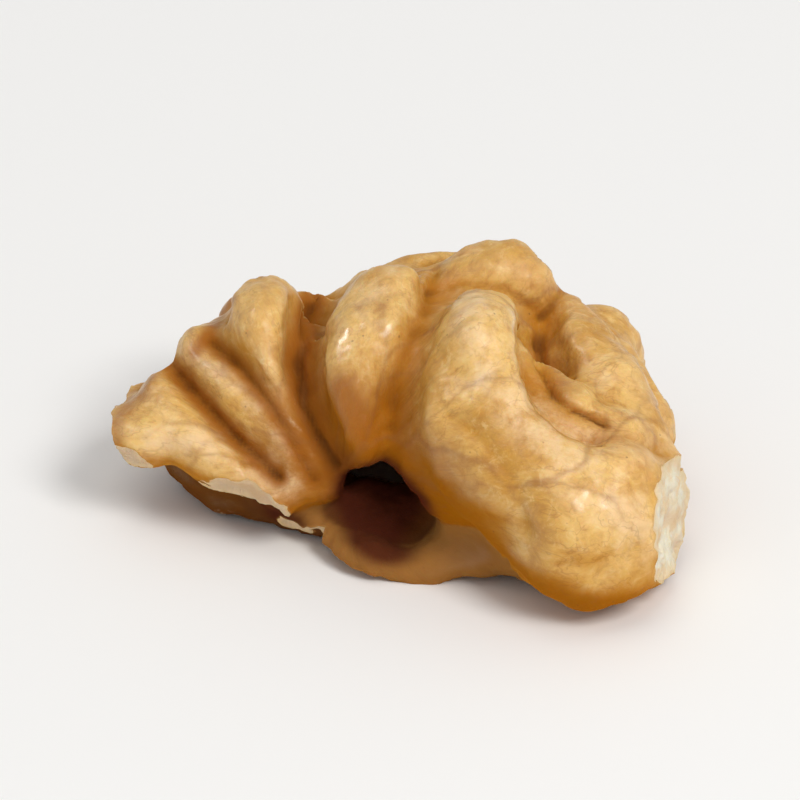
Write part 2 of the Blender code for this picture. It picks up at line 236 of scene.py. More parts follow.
CORE = {
    "rim": [
        (-9.8, 13.4, 2.2, 1.8),
        (-6.4, 16.2, 2.0, 1.9),
        (-2.0, 18.2, 2.0, 1.9),
        (2.4, 19.2, 2.0, 1.9),
        (6.4, 17.4, 2.0, 1.9),
        (9.6, 13.4, 2.1, 2.0),
        (10.6, 9.2, 2.1, 2.0),
        (10.8, 5.0, 2.6, 2.4),
    ],
    "waist": [
        (-8.6, 12.0, 5.8, 2.2),
        (-4.0, 12.0, 6.6, 2.4),
        (1.0, 11.4, 7.6, 3.0),
        (6.0, 10.4, 7.0, 3.4),
    ],
    "right_core": [
        (4.0, 8.0, 6.2, 3.4),
        (7.8, 8.2, 5.6, 3.3),
        (7.2, 12.8, 5.2, 2.9),
        (3.0, 15.2, 5.8, 2.8),
        (-1.6, 15.6, 5.0, 2.4),
    ],
    "inner_wall": [
        (-10.6, 11.4, 2.0, 1.7),
        (-8.8, 9.8, 1.5, 1.8),
        (-6.2, 8.8, 1.4, 1.8),
        (-3.6, 8.0, 1.4, 1.9),
        (-1.4, 7.0, 1.2, 2.0),
        (0.8, 6.9, 1.3, 2.0),
        (2.4, 7.6, 2.0, 2.0),
    ],
    "wing_floor": [
        (-11.2, 9.2, 4.2, 1.4),
        (-8.6, 8.2, 3.8, 1.6),
        (-6.0, 7.6, 3.2, 1.5),
    ],
}
HOLLOWS = {
    "arch": [
        (-0.8, -1.0, 3.3, 1.8),
        (-1.0, 3.4, 3.5, 1.9),
        (-1.3, 5.2, 3.8, 1.9),
        (-1.5, 6.8, 4.5, 1.5),
    ],
    "under_wing": [
        (-13.4, 7.4, 0.6, 2.0),
        (-10.4, 5.0, 0.8, 2.4),
        (-7.4, 4.2, 0.4, 2.4),
    ],
    "waist_channel": [
        (-1.6, 13.4, 1.8, 2.5),
        (-1.7, 14.6, 1.4, 2.5),
        (-1.6, 15.8, 0.2, 2.4),
    ],
    "right_pocket": [
        (1.4, 12.0, 1.6, 2.4),
        (4.6, 11.4, 1.4, 2.8),
        (7.4, 10.8, 0.4, 2.4),
    ],
    "right_pocket_back": [
        (4.2, 11.6, 1.2, 2.4),
        (4.2, 14.8, 0.0, 2.1),
    ],
    "right_pocket_roof": [
        (2.6, 12.3, 2.9, 2.9),
        (5.4, 12.1, 2.9, 3.0),
    ],
    "left_pocket": [
        (-2.6, 13.2, 1.6, 2.4),
        (-5.6, 13.0, 1.4, 2.4),
        (-8.2, 12.6, 0.6, 2.0),
    ],
}

# What a view from the front and above shows is drawn on that view's plane: x, and v, the height
# up the slanted view. A vertex at x, y, z is seen at x, VIEW_Y * y + VIEW_Z * z.
VIEW_Y = 0.53
VIEW_Z = 0.848

# Furrows between the folds: depth, half width, then the points x, v of the line, in millimetres.
FURROWS = {
    "wing_to_centre": (
        1.5, 0.8, [(-4.2, 16.6), (-4.8, 14.6), (-5.2, 12.4), (-4.9, 10.4), (-4.2, 8.6), (-3.4, 7.2)],
    ),
    "centre_to_lobe": (
        0.5, 0.8, [(1.6, 17.0), (1.3, 15.2), (0.4, 13.6), (-0.4, 11.4), (-0.6, 9.2)],
    ),
    "lobe_pit": (
        1.5, 0.8, [(6.8, 13.6), (6.8, 12.4), (7.2, 10.9), (8.2, 9.9), (9.8, 9.3)],
    ),
    "crescent_to_bulge": (
        0.5, 0.6, [(8.4, 9.9), (10.0, 9.3), (11.6, 8.5), (13.0, 7.8)],
    ),
    "top_to_crescent": (
        0.8, 0.6, [(6.9, 14.6), (7.6, 15.4), (8.4, 16.6)],
    ),
    "under_top_fold": (
        0.5, 0.6, [(1.4, 15.9), (3.0, 16.3), (5.0, 16.0), (6.6, 15.0)],
    ),
    "crown_to_ridges": (
        0.8, 0.55, [(-9.6, 13.4), (-8.0, 12.0), (-6.6, 10.2), (-5.3, 8.2), (-4.4, 6.6)],
    ),
    "between_ridges": (
        0.9, 0.55, [(-11.6, 12.2), (-10.0, 10.4), (-8.2, 8.5), (-6.2, 6.6)],
    ),
    "bulge_crease": (
        0.35, 0.9, [(2.2, 9.8), (4.0, 8.4), (5.6, 6.2), (6.2, 4.0)],
    ),
}

# Swellings and dents on the same view: x, v, radius and height in millimetres.
SWELLINGS = [
    (3.6, 14.2, 1.8, 0.7),
    (3.6, 11.7, 1.0, -0.3),
    (7.2, 11.9, 1.3, -0.6),
    (9.2, 4.4, 3.0, 0.5),
    (4.6, 10.6, 2.0, 0.3),
    (-0.8, 15.6, 1.4, 0.3),
    (-2.7, 11.2, 1.3, 0.25),
    (2.6, 11.9, 1.1, -0.35),
    (6.6, 8.6, 1.4, -0.3),
    (10.8, 11.9, 1.2, 0.3),
    (12.2, 6.0, 1.3, -0.3),
    (-7.2, 14.8, 1.2, 0.25),
    (-11.2, 8.6, 1.5, 0.25),
]

# Torn faces: a point on the face, the way it looks and the cutting block's size in millimetres.
BREAKS = {
    "right_break": ((13.3, 2.5, 4.0), (0.96, -0.22, 0.06), 20),
    "wing_break": ((-13.2, 6.2, 5.2), (-0.32, -0.75, -0.58), 18),
    "tip_break": ((-13.9, 10.0, 5.0), (-0.93, 0.1, -0.35), 18),
}

# The size of the block that cuts the lowest folds flat where they rest.
GROUND_SIZE = 60.0

# The veins run out from here, at the top of the arch between the wings, to ends this far apart.
VEIN_ROOT = (-3.0, 5.4, 4.6)
VEIN_END_SPACING = 1.5
VEIN_WANDER = [(1.3, 2.2), (0.8, 0.8)]
VEIN_RISE = 0.035

# The hollow's mark, painted shade over a darker inner skin, fades out over these distances from its
# balls, in millimetres.
HOLLOW_REACH = (1.3, 0.2)

# Painted shade: the folds turn amber towards the arch between the wings from this far away, in
# millimetres.
ARCH_REACH = 7.5

# How far the painted shade of a furrow spreads, as a share of the furrow's width, and how strong it
# is.
FURROW_SHADE_SPREAD = 1.2
FURROW_SHADES = {
    "wing_to_centre": 1.0,
    "centre_to_lobe": 0.4,
    "lobe_pit": 0.25,
    "crescent_to_bulge": 0.35,
    "top_to_crescent": 0.4,
    "under_top_fold": 0.3,
    "crown_to_ridges": 0.85,
    "between_ridges": 0.95,
}

# Where the skin is paler, partly its own colour and partly a painted highlight on the lit ridges and
# the lobe, drawn as on the furrows' plane: strength, half width and the line's x, v.
PALE_AND_HIGHLIGHT_LINES = [
    (0.9, 0.75, [(-10.1, 12.9), (-8.2, 11.3), (-6.2, 9.3), (-5.0, 7.6)]),
    (0.8, 1.1, [(-12.8, 8.4), (-10.2, 8.6), (-7.6, 7.4), (-6.0, 6.4)]),
    (0.85, 1.5, [(3.6, 14.8), (4.2, 12.6), (5.6, 10.2), (8.0, 7.6)]),
    (0.8, 1.9, [(7.4, 8.8), (9.8, 6.0), (11.8, 4.0)]),
    (0.6, 1.2, [(9.6, 12.4), (11.4, 10.4), (12.6, 8.2)]),
    (0.3, 1.0, [(3.0, 17.6), (6.2, 17.2), (8.8, 15.0)]),
    (0.5, 0.9, [(-0.8, 16.6), (-2.0, 15.2)]),
]

# Where painted shade turns the skin deep amber, on flanks, lower edges and the pit, in the same way.
AMBER_SHADE_LINES = [
    (0.9, 1.0, [(-3.0, 11.0), (-2.2, 9.2), (-1.0, 7.6)]),
    (0.9, 1.0, [(-0.4, 7.8), (0.6, 6.3), (2.3, 4.6), (4.1, 3.0), (6.0, 1.3), (8.4, 0.2), (12.6, 0.3)]),
    (0.8, 0.55, [(-10.4, 12.9), (-9.6, 14.0), (-8.7, 15.6)]),
    (0.6, 0.6, [(-14.3, 7.0), (-14.3, 9.4), (-12.6, 11.6)]),
    (0.5, 0.8, [(7.4, 12.2), (8.0, 10.6)]),
]

# Where the skin is oily and catches the light: strength, radius and the place's x, v.
OILY_SPOTS = [
    (1.0, 1.5, (-0.9, 15.3)),
    (0.9, 0.8, (-3.0, 13.8)),
    (0.8, 0.9, (5.6, 14.4)),
    (0.5, 1.6, (9.6, 5.6)),
]

# The flesh's material number on the kernel's faces.
FLESH_INDEX = 1

# Over how many millimetres from the inner margin and the inner wall their painted shade fades out.
INNER_REACH = (0.9, 0.3)

# Rounds of smoothing that let the colour of a mark fade out softly.
FADE_ROUNDS = {
    "fine_dip": 2,
    "hollow": 30,
    "margin": 8,
    "wall": 8,
    "torn_rim": 2,
    "near_rim": 24,
    "facing_down": 12,
}

# How many times harder the way is for a vein over torn flesh, so that the veins keep off it.
TORN_RESISTANCE = 30.0

# A vein's strength at its end, and what each doubling of the veins that join adds.
VEIN_STRENGTH = (0.28, 0.13)
VEIN_SEED = 7

# Rounds of smoothing that widen a vein, and what makes up for the strength that it loses.
VEIN_ROUNDS = 2
VEIN_GAIN = 1.3

# Rounds of smoothing that tell fine and wide dips from the surface round them.
FINE_DIP_ROUNDS = 12
WIDE_DIP_ROUNDS = 160

# The skin's roughness in the furrows, what the tops lose of it everywhere and what they lose in
# patches; its mirror share on the tops; its oily coat on plain tops and on the oily spots.
DULL_ROUGHNESS = 0.72
TOPS_SMOOTHER = 0.22
PATCHES_SMOOTHER = 0.2
TOPS_SPECULAR = 0.34
OILY_COAT = (0.14, 1.0)
COAT_ROUGHNESS = 0.2

# How the skin and the flesh let light in: weight, radius of each colour and depth in millimetres.
SKIN_GLOW = (0.2, (1.0, 0.32, 0.07), 1.6)
FLESH_GLOW = (0.3, (1.0, 0.7, 0.4), 0.8)

# Fine grain of the skin and of the flesh: strength and height in millimetres.
SKIN_GRAIN = (0.6, 0.09)
FLESH_GRAIN = (1.0, 0.2)

# Roughness and mirror share of the flesh and of the table.
FLESH_FINISH = (0.65, 0.3)
TABLE_FINISH = (0.75, 0.2)

HONEY = (0.62, 0.31, 0.045, 1.0)
STRAW = (0.82, 0.51, 0.15, 1.0)
PALE_STRAW = (0.92, 0.68, 0.31, 1.0)
ROSY_TAN = (0.66, 0.34, 0.13, 1.0)
PALE_ROSE = (0.90, 0.64, 0.35, 1.0)
STREAK_BROWN = (0.48, 0.21, 0.04, 1.0)
MOTTLE_BROWN = (0.44, 0.19, 0.04, 1.0)
# Painted shade: the next five colours.
SHADE_AMBER = (0.46, 0.165, 0.010, 1.0)
DEEP_SHADE_AMBER = (0.36, 0.115, 0.004, 1.0)
FURROW_SHADE_ORANGE = (0.34, 0.11, 0.012, 1.0)
CREASE_SHADE_BROWN = (0.15, 0.045, 0.010, 1.0)
GROOVE_SHADE_RUST = (0.30, 0.11, 0.02, 1.0)
VEIN_BROWN = (0.32, 0.12, 0.03, 1.0)
SPECK_BROWN = (0.14, 0.05, 0.02, 1.0)
# Painted shade: the next four colours, the last over a darker inner skin.
ARCH_SHADE_BROWN = (0.20, 0.058, 0.008, 1.0)
MARGIN_SHADE_BROWN = (0.34, 0.16, 0.045, 1.0)
WALL_SHADE_BROWN = (0.12, 0.038, 0.012, 1.0)
HOLLOW_SHADE_BROWN = (0.075, 0.015, 0.008, 1.0)
RUBBED_CREAM = (0.92, 0.80, 0.55, 1.0)
RIM_BROWN = (0.50, 0.26, 0.08, 1.0)
FLESH_CREAM = (0.93, 0.70, 0.42, 1.0)
FLESH_IVORY = (1.0, 0.90, 0.70, 1.0)
FLESH_CHALK = (1.0, 0.96, 0.88, 1.0)
FLESH_YELLOW = (0.84, 0.57, 0.24, 1.0)
FLESH_SHADE = (0.88, 0.66, 0.36, 1.0)
# Painted shade on the flesh where it faces down.
FLESH_UNDERSIDE_SHADE = (0.80, 0.52, 0.28, 1.0)
TABLE_WHITE = (0.93, 0.93, 0.93, 1.0)

TABLE_SIZE = 3.0
SKY_COLOUR = (1.0, 0.995, 0.985, 1.0)
SKY_STRENGTH = 0.49

# Softboxes: azimuth and height in degrees, distance and size in metres, power in watts, colour.
SOFTBOXES = {
    "key": (38, 48, 0.7, 0.24, 2.6, (1.0, 0.985, 0.955)),
    "glint": (-97, 44, 0.7, 0.2, 1.9, (1.0, 0.99, 0.97)),
    "top": (-30, 78, 0.9, 0.5, 1.0, (1.0, 0.99, 0.97)),
}

# This light is only mirrored in the skin: it adds glints and no brightness.
MIRRORED_LIGHT = "glint"

# What the camera and the lights look at, where the camera stands and its lens in millimetres.
AIM = Vector((0.0, 0.0, 0.0062))
CAMERA_ANGLES = (0.0, 32.0)
CAMERA_DISTANCE = 0.6
FOCAL_LENGTH = 540.0


def along(stations, share):
    """The point and radius at a share, from 0 to 1, of the smooth curve through the stations."""
    last = len(stations) - 1
    place = min(share * last, last - 1e-9)
    index = int(place)
    t = place - index
    near = [stations[max(0, min(last, index + k))] for k in (-1, 0, 1, 2)]
    a, b, c, d = (Vector(s[:3]) for s in near)
    bend = (2 * a - 5 * b + 4 * c - d) * t**2 + (3 * b - a - 3 * c + d) * t**3
    return 0.5 * (2 * b + (c - a) * t + bend), near[1][3] + (near[2][3] - near[1][3]) * t


def ball_chain(stations):
    """The points and radii, in millimetres, of the overlapping balls that make a fold."""
    length = sum((Vector(b[:3]) - Vector(a[:3])).length for a, b in zip(stations, stations[1:]))
    least = min(s[3] for s in stations)
    count = max(2, round(length / (least * BALL_STEP)))
    return [along(stations, k / count) for k in range(count + 1)]


def fold_mesh(stations):
    bm = bmesh.new()
    for point, radius in ball_chain(stations):
        place = Matrix.Translation(point * MM)
        bmesh.ops.create_icosphere(bm, subdivisions=3, radius=radius * MM, matrix=place)
    mesh = bpy.data.meshes.new("fold")
    bm.to_mesh(mesh)
    bm.free()
    return mesh


def object_from(name, bm):
    """A new object in the scene with the mesh that bm holds."""
    mesh = bpy.data.meshes.new(name)
    bm.to_mesh(mesh)
    bm.free()
    body = bpy.data.objects.new(name, mesh)
    bpy.context.scene.collection.objects.link(body)
    return body


def fused(name, *groups):
    """One closed body of all the folds in the groups, as an object."""
    bm = bmesh.new()
    for group in groups:
        for stations in group.values():
            fold = fold_mesh(stations)
            bm.from_mesh(fold)
            bpy.data.meshes.remove(fold)
    body = object_from(name, bm)
    add_remesh(body, CELL)
    apply_modifiers(body)
    return body


def add_remesh(body, cell):
    remesh = body.modifiers.new("Even cells", "REMESH")
    remesh.mode = "VOXEL"
    remesh.voxel_size = cell


def add_difference(body, cutter):
    cut = body.modifiers.new("Cut", "BOOLEAN")
    cut.operation = "DIFFERENCE"
    cut.solver = "EXACT"
    cut.material_mode = "TRANSFER"
    cut.object = cutter


def add_smoothing(body, times):
    smooth = body.modifiers.new("Soften", "SMOOTH")
    smooth.factor = 0.5
    smooth.iterations = times


def add_rounding(body):
    rounding = body.modifiers.new("Rounding", "SUBSURF")
    rounding.levels = 1
    rounding.render_levels = 1


def apply_modifiers(body):
    """The body's mesh becomes what its modifiers make of it."""
    graph = bpy.context.evaluated_depsgraph_get()
    old = body.data
    made = bpy.data.meshes.new_from_object(body.evaluated_get(graph), depsgraph=graph)
    body.modifiers.clear()
    body.data = made
    bpy.data.meshes.remove(old)


def vertex_arrays(mesh):
    """The places of the vertices in millimetres, and their normals."""
    count = len(mesh.vertices)
    places = np.empty(count * 3)
    normals = np.empty(count * 3)
    mesh.vertices.foreach_get("co", places)
    mesh.vertex_normals.foreach_get("vector", normals)
    return places.reshape(-1, 3) / MM, normals.reshape(-1, 3)


def set_places(mesh, places):
    mesh.vertices.foreach_set("co", (places * MM).ravel())
    mesh.update()


def edge_ends(mesh):
    """For each edge, the numbers of its two vertices."""
    edges = np.empty(len(mesh.edges) * 2, dtype=int)
    mesh.edges.foreach_get("vertices", edges)
    return edges[0::2], edges[1::2]


def evened(values, ends, rounds):
    """The rows of values, each drawn towards the mean of its neighbours so many times."""
    first, second = ends
    count = len(values)
    around = np.bincount(np.concatenate(ends), minlength=count)[:, None]
    for _ in range(rounds):
        sums = [
            np.bincount(first, column[second], count) + np.bincount(second, column[first], count)
            for column in values.T
        ]
        values = (values + np.stack(sums, axis=1) / around) / 2
    return values


def noise_at(places, wavelength, seed):
    """Smooth noise from about -1 to 1 at each place."""
    shift = Vector((seed * 17.3, seed * 5.1, seed * 9.7))
    return np.array([noise.noise(Vector(p) / wavelength + shift) for p in places])


def smooth_step(low, high, value):
    t = np.clip((value - low) / (high - low), 0.0, 1.0)
    return t * t * (3 - 2 * t)


def line_distance(points, line):
    """How far each point of the view lies from the line through the line's points."""
    nearest = np.full(len(points), 1e9)
    for start, end in zip(np.array(line[:-1]), np.array(line[1:])):
        step = end - start
        share = np.clip((points - start) @ step / (step @ step), 0, 1)
        nearest = np.minimum(nearest, np.linalg.norm(points - start - share[:, None] * step, axis=1))
    return nearest


def bend_folds(body):
    """The folds wander a little, more at the back than at the front."""
    places, _ = vertex_arrays(body.data)
    amount = WANDER_FRONT + (WANDER_BACK - WANDER_FRONT) * smooth_step(11.0, 16.0, places[:, 1])
    shift = np.stack([noise_at(places, WANDER_LENGTH, seed) for seed in (1, 2, 3)], axis=1)
    set_places(body.data, places + shift * amount[:, None])


def deepen_folds(body):
    """Ridges rise and the valleys between them sink, away from a smoothed copy of the surface."""
    places, _ = vertex_arrays(body.data)
    soft = evened(places, edge_ends(body.data), DEEPEN_ROUNDS)
    amount = DEEPEN_FRONT + (DEEPEN_BACK - DEEPEN_FRONT) * smooth_step(10.0, 14.0, places[:, 1])
    set_places(body.data, places + amount[:, None] * (places - soft))


def front_share(normals):
    """1 where a surface faces the front view, 0 where it faces away."""
    return smooth_step(-0.05, 0.3, normals[:, 2] * VIEW_Y - normals[:, 1] * VIEW_Z)


def as_seen(places):
    """Where the front view sees each place: its x and its height v up the slanted view."""
    return np.stack([places[:, 0], VIEW_Y * places[:, 1] + VIEW_Z * places[:, 2]], axis=1)


def furrow_height(places, deep, wide):
    """The front view's furrows, with shares of their depth and width."""
    seen = as_seen(places)
    height = np.zeros(len(places))
    for depth, width, line in FURROWS.values():
        height -= depth * deep * np.exp(-((line_distance(seen, line) / (width * wide)) ** 2))
    return height


def swelling_height(places):
    """The front view's swellings and dents."""
    seen = as_seen(places)
    height = np.zeros(len(places))
    for x, v, radius, rise in SWELLINGS:
        apart = np.linalg.norm(seen - np.array([x, v]), axis=1)
        height += rise * np.exp(-((apart / radius) ** 2))
    return height


def winding_line(places, spacing, width, seed):
    """1 along a line that winds through the places, falling softly to 0 beside it."""
    return np.exp(-((noise_at(places, spacing, seed) / width) ** 2))


def groove_height(places, deep, wide):
    """The winding grooves, with shares of their depth and width."""
    line = winding_line(places, GROOVE_SPACING, GROOVE_WIDTH * wide, GROOVE_SEED)
    return -GROOVE_DEPTH * deep * line


def shape_surface(body):
    """Furrows and swellings as seen from the front, and uneven folds all round."""
    places, normals = vertex_arrays(body.data)
    facing = front_share(normals)
    height = (furrow_height(places, 1, 1) + swelling_height(places)) * facing
    for seed, (rise, wavelength) in enumerate(LUMPS, start=4):
        height += rise * noise_at(places, wavelength, seed)
    height += groove_height(places, 1, 1) * (1 - facing)
    set_places(body.data, places + normals * height[:, None])


def whole_kernel():
    """The folds with the hollow under them, before anything is broken off."""
    kernel = fused("kernel_skin_and_flesh", RIGHT_WING, LEFT_WING, CORE)
    bend_folds(kernel)
    hollow = fused("hollow", HOLLOWS)
    add_difference(kernel, hollow)
    add_remesh(kernel, CELL)
    add_smoothing(kernel, SOFTEN_FOLDS)
    apply_modifiers(kernel)
    bpy.data.objects.remove(hollow)
    deepen_folds(kernel)
    shape_surface(kernel)
    add_remesh(kernel, CELL)
    add_smoothing(kernel, SOFTEN_SURFACE)
    apply_modifiers(kernel)
    return kernel


def fine_skin(kernel):
    """Much smaller cells, with the sharp creases and the puckers that they can carry."""
    add_rounding(kernel)
    add_remesh(kernel, FINE_CELL)
    add_smoothing(kernel, SOFTEN_SKIN)
    apply_modifiers(kernel)
    places, normals = vertex_arrays(kernel.data)
    facing = front_share(normals)
    height = furrow_height(places, CREASE_DEPTH, CREASE_WIDTH) * facing
    height += groove_height(places, CREASE_DEPTH, CREASE_WIDTH) * (1 - facing)
    for seed, (depth, spacing, width, _) in enumerate(BACK_CREASES, start=BACK_CREASE_SEED):
        height -= depth * winding_line(places, spacing, width, seed) * (1 - facing)
    for seed, (rise, wavelength) in enumerate(PUCKERS, start=11):
        height += rise * noise_at(places, wavelength, seed)
    rise, turns = DRAWN_PUCKERS
    out = places - np.array(VEIN_ROOT)
    reach = np.linalg.norm(out, axis=1)[:, None]
    height += rise * noise_at(out / np.maximum(reach, 0.5) * turns + places * 0.12, 1.0, 14)
    set_places(kernel.data, places + normals * height[:, None])


def wavy_cutter(name, centre, normal, size, material):
    """A block whose near face, at the centre and looking against the normal, is uneven like a tear."""
    bm = bmesh.new()
    bmesh.ops.create_grid(bm, x_segments=TEAR_CELLS, y_segments=TEAR_CELLS, size=size / 2 * MM)
    for vert in bm.verts:
        place = vert.co / MM
        vert.co.z = sum(rise * noise.noise(place / length) for rise, length in TEAR_WAVES) * MM
    raised = bmesh.ops.extrude_face_region(bm, geom=list(bm.faces))
    top = [item for item in raised["geom"] if isinstance(item, bmesh.types.BMVert)]
    bmesh.ops.translate(bm, verts=top, vec=(0, 0, size / 2 * MM))
    bmesh.ops.recalc_face_normals(bm, faces=bm.faces)
    body = object_from(name, bm)
    body.data.materials.append(material)
    turn = Vector(normal).to_track_quat("Z", "Y").to_matrix().to_4x4()
    body.data.transform(Matrix.Translation(Vector(centre) * MM) @ turn)
    return body


def ground_block():
    bm = bmesh.new()
    bmesh.ops.create_cube(bm, size=GROUND_SIZE * MM)
    bmesh.ops.translate(bm, verts=bm.verts, vec=(0, 0, -GROUND_SIZE / 2 * MM))
    return object_from("ground", bm)


def tear_and_level(kernel, skin, flesh):
    """The torn ends with their pale flesh, and the small flat spots underneath."""
    kernel.data.materials.clear()
    kernel.data.materials.append(skin)
    kernel.data.materials.append(flesh)
    cutters = [wavy_cutter(name, *how, flesh) for name, how in BREAKS.items()]
    cutters.append(ground_block())
    cutters[-1].data.materials.append(skin)
    for cutter in cutters:
        add_difference(kernel, cutter)
    apply_modifiers(kernel)
    for cutter in cutters:
        bpy.data.objects.remove(cutter)


def set_on_floor(kernel):
    """The kernel goes where the plain solid stands, and the shift in millimetres comes back."""
    low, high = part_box("kernel")
    places, _ = vertex_arrays(kernel.data)
    middle = (places.min(axis=0) + places.max(axis=0)) / 2
    shift = np.array((low + high) / 2) / MM - middle
    shift[2] = 0.0
    set_places(kernel.data, places + shift)
    return shift


def keep_mark(mesh, name, values):
    mark = mesh.attributes.new(name, "FLOAT", "POINT")
    mark.data.foreach_set("value", np.asarray(values, dtype=np.float32))


def nearest_ball(places, chains):
    """How far each place lies from the balls of the chains, and the way to the nearest ball."""
    nearest = np.full(len(places), 1e9)
    way = np.zeros_like(places)
    for point, radius in [ball for stations in chains for ball in ball_chain(stations)]:
        out = np.array(point) - places
        apart = np.linalg.norm(out, axis=1)
        closer = apart - radius < nearest
        nearest[closer] = (apart - radius)[closer]
        way[closer] = (out / np.maximum(apart, 0.1)[:, None])[closer]
    return nearest, way


def hollow_mark(places, normals):
    """1 on the walls of the hollows, which look towards the balls that they were cut with."""
    nearest, way = nearest_ball(places, HOLLOWS.values())
    looking = (way * normals).sum(axis=1)
    return smooth_step(*HOLLOW_REACH, nearest) * smooth_step(-0.1, 0.45, looking)


def furrow_shade_mark(places):
    """How strong the painted shade in the front view's furrows is, most along their middle."""
    seen = as_seen(places)
    furrow_shade = np.zeros(len(places))
    for name, strength in FURROW_SHADES.items():
        _, width, line = FURROWS[name]
        near = np.exp(-((line_distance(seen, line) / (width * FURROW_SHADE_SPREAD)) ** 2))
        furrow_shade = np.maximum(furrow_shade, strength * near)
    return furrow_shade


def lines_mark(places, lines):
    """How near each place lies to the middle of one of the lines, times the line's strength."""
    seen = as_seen(places)
    strongest = np.zeros(len(places))
    for strength, width, line in lines:
        near = np.exp(-((line_distance(seen, line) / width) ** 2))
        strongest = np.maximum(strongest, strength * near)
    return strongest


def oily_mark(places):
    """How near each place lies to the middle of an oily spot, times the spot's strength."""
    seen = as_seen(places)
    oily = np.zeros(len(places))
    for strength, radius, spot in OILY_SPOTS:
        apart = np.linalg.norm(seen - np.array(spot), axis=1)
        oily = np.maximum(oily, strength * np.exp(-((apart / radius) ** 2)))
    return oily


def winding_mark(places):
    """1 along the winding grooves, less along the finer creases, and 0 between them."""
    wide = GROOVE_SHADE_SPREAD * GROOVE_WIDTH
    bottom = winding_line(places, GROOVE_SPACING, wide, GROOVE_SEED)
    for seed, (_, spacing, width, dark) in enumerate(BACK_CREASES, start=BACK_CREASE_SEED):
        bottom = np.maximum(bottom, dark * winding_line(places, spacing, width, seed))
    return bottom


def torn_vertices(mesh):
    """Which vertices belong to torn flesh, and which of those to the skin as well."""
    flesh = np.zeros(len(mesh.vertices), dtype=bool)
    skin = np.zeros(len(mesh.vertices), dtype=bool)
    for face in mesh.polygons:
        (flesh if face.material_index == FLESH_INDEX else skin)[list(face.vertices)] = True
    return flesh, flesh & skin


def face_links(mesh):
    """Pairs of vertices that share a face, so that a vein may also cross a face."""
    pairs = set()
    for face in mesh.polygons:
        corners = list(face.vertices)
        if len(corners) == 4:
            pairs.add((corners[0], corners[2]))
            pairs.add((corners[1], corners[3]))
    first, second = edge_ends(mesh)
    pairs.update(zip(first.tolist(), second.tolist()))
    return np.array(sorted(pairs))


def vein_paths(places, links, resistance, root):
    """From each vertex, the next one on the easiest way to the root, and the order of reach."""
    effort = np.linalg.norm(places[links[:, 0]] - places[links[:, 1]], axis=1)
    effort = effort * (resistance[links[:, 0]] + resistance[links[:, 1]]) / 2
    around = [[] for _ in places]
    for (a, b), cost in zip(links.tolist(), effort.tolist()):
        around[a].append((b, cost))
        around[b].append((a, cost))
    least = [math.inf] * len(places)
    least[root] = 0.0
    towards = [-1] * len(places)
    waiting = [(0.0, root)]
    while waiting:
        reached, vertex = heapq.heappop(waiting)
        if reached > least[vertex]:
            continue
        for other, cost in around[vertex]:
            if reached + cost < least[other]:
                least[other] = reached + cost
                towards[other] = vertex
                heapq.heappush(waiting, (reached + cost, other))
    return towards


def spread_ends(places, allowed, spacing):
    """Vertices scattered over the skin, no two of them in one cell of that spacing."""
    order = np.random.default_rng(VEIN_SEED).permutation(np.flatnonzero(allowed))
    taken = {}
    for vertex in order.tolist():
        taken.setdefault(tuple(np.floor(places[vertex] / spacing).astype(int)), vertex)
    return list(taken.values())


def vein_mark(mesh, places, torn):
    """How strong a vein runs through each vertex: they join on their way back to the root."""
    resistance = np.zeros(len(places))
    for seed, (amount, wavelength) in enumerate(VEIN_WANDER, start=21):
        resistance += amount * noise_at(places, wavelength, seed)
    resistance = np.exp(resistance) * np.where(torn, TORN_RESISTANCE, 1.0)
    root = int(np.argmin(np.linalg.norm(places - np.array(VEIN_ROOT), axis=1)))
    towards = vein_paths(places, face_links(mesh), resistance, root)
    flow = np.zeros(len(places))
    for end in spread_ends(places, ~torn, VEIN_END_SPACING):
        vertex = end
        while vertex >= 0:
            flow[vertex] += 1
            vertex = towards[vertex]
    low, step = VEIN_STRENGTH
    strength = np.where(flow > 0, low + step * np.log2(np.maximum(flow, 1)), 0.0)
    soft = evened(np.clip(strength, 0, 1)[:, None], edge_ends(mesh), VEIN_ROUNDS)[:, 0]
    return np.clip(soft * VEIN_GAIN, 0, 1)


def faded(name, values, ends):
    """The values of the mark with that name, smoothed for its colour to fade out softly."""
    return evened(values.reshape(-1, 1), ends, FADE_ROUNDS[name])[:, 0]


def mark_front(mesh, places, facing):
    """Keeps what is drawn on the front view, and the painted shade of the grooves where that view
    doesn't reach.
    """
    keep_mark(mesh, "furrow_shade", furrow_shade_mark(places) * facing)
    keep_mark(mesh, "pale", lines_mark(places, PALE_AND_HIGHLIGHT_LINES) * facing)
    keep_mark(mesh, "amber", lines_mark(places, AMBER_SHADE_LINES) * facing)
    keep_mark(mesh, "oily", oily_mark(places) * facing)
    keep_mark(mesh, "winding", winding_mark(places) * (1 - facing))


def mark_hollows(mesh, places, normals, ends):
    """Keeps where the skin hides in a hollow, and how near it lies to the arch and its walls, for
    painted shade.
    """
    keep_mark(mesh, "hollow", faded("hollow", hollow_mark(places, normals), ends))
    arch = nearest_ball(places, [HOLLOWS["arch"]])[0]
    keep_mark(mesh, "arch", np.clip(1 - arch / ARCH_REACH, 0, 1))
    for name, chain in (("margin", RIGHT_WING["inner_margin"]), ("wall", CORE["inner_wall"])):
        near = smooth_step(*INNER_REACH, nearest_ball(places, [chain])[0])
        keep_mark(mesh, name, faded(name, near, ends))


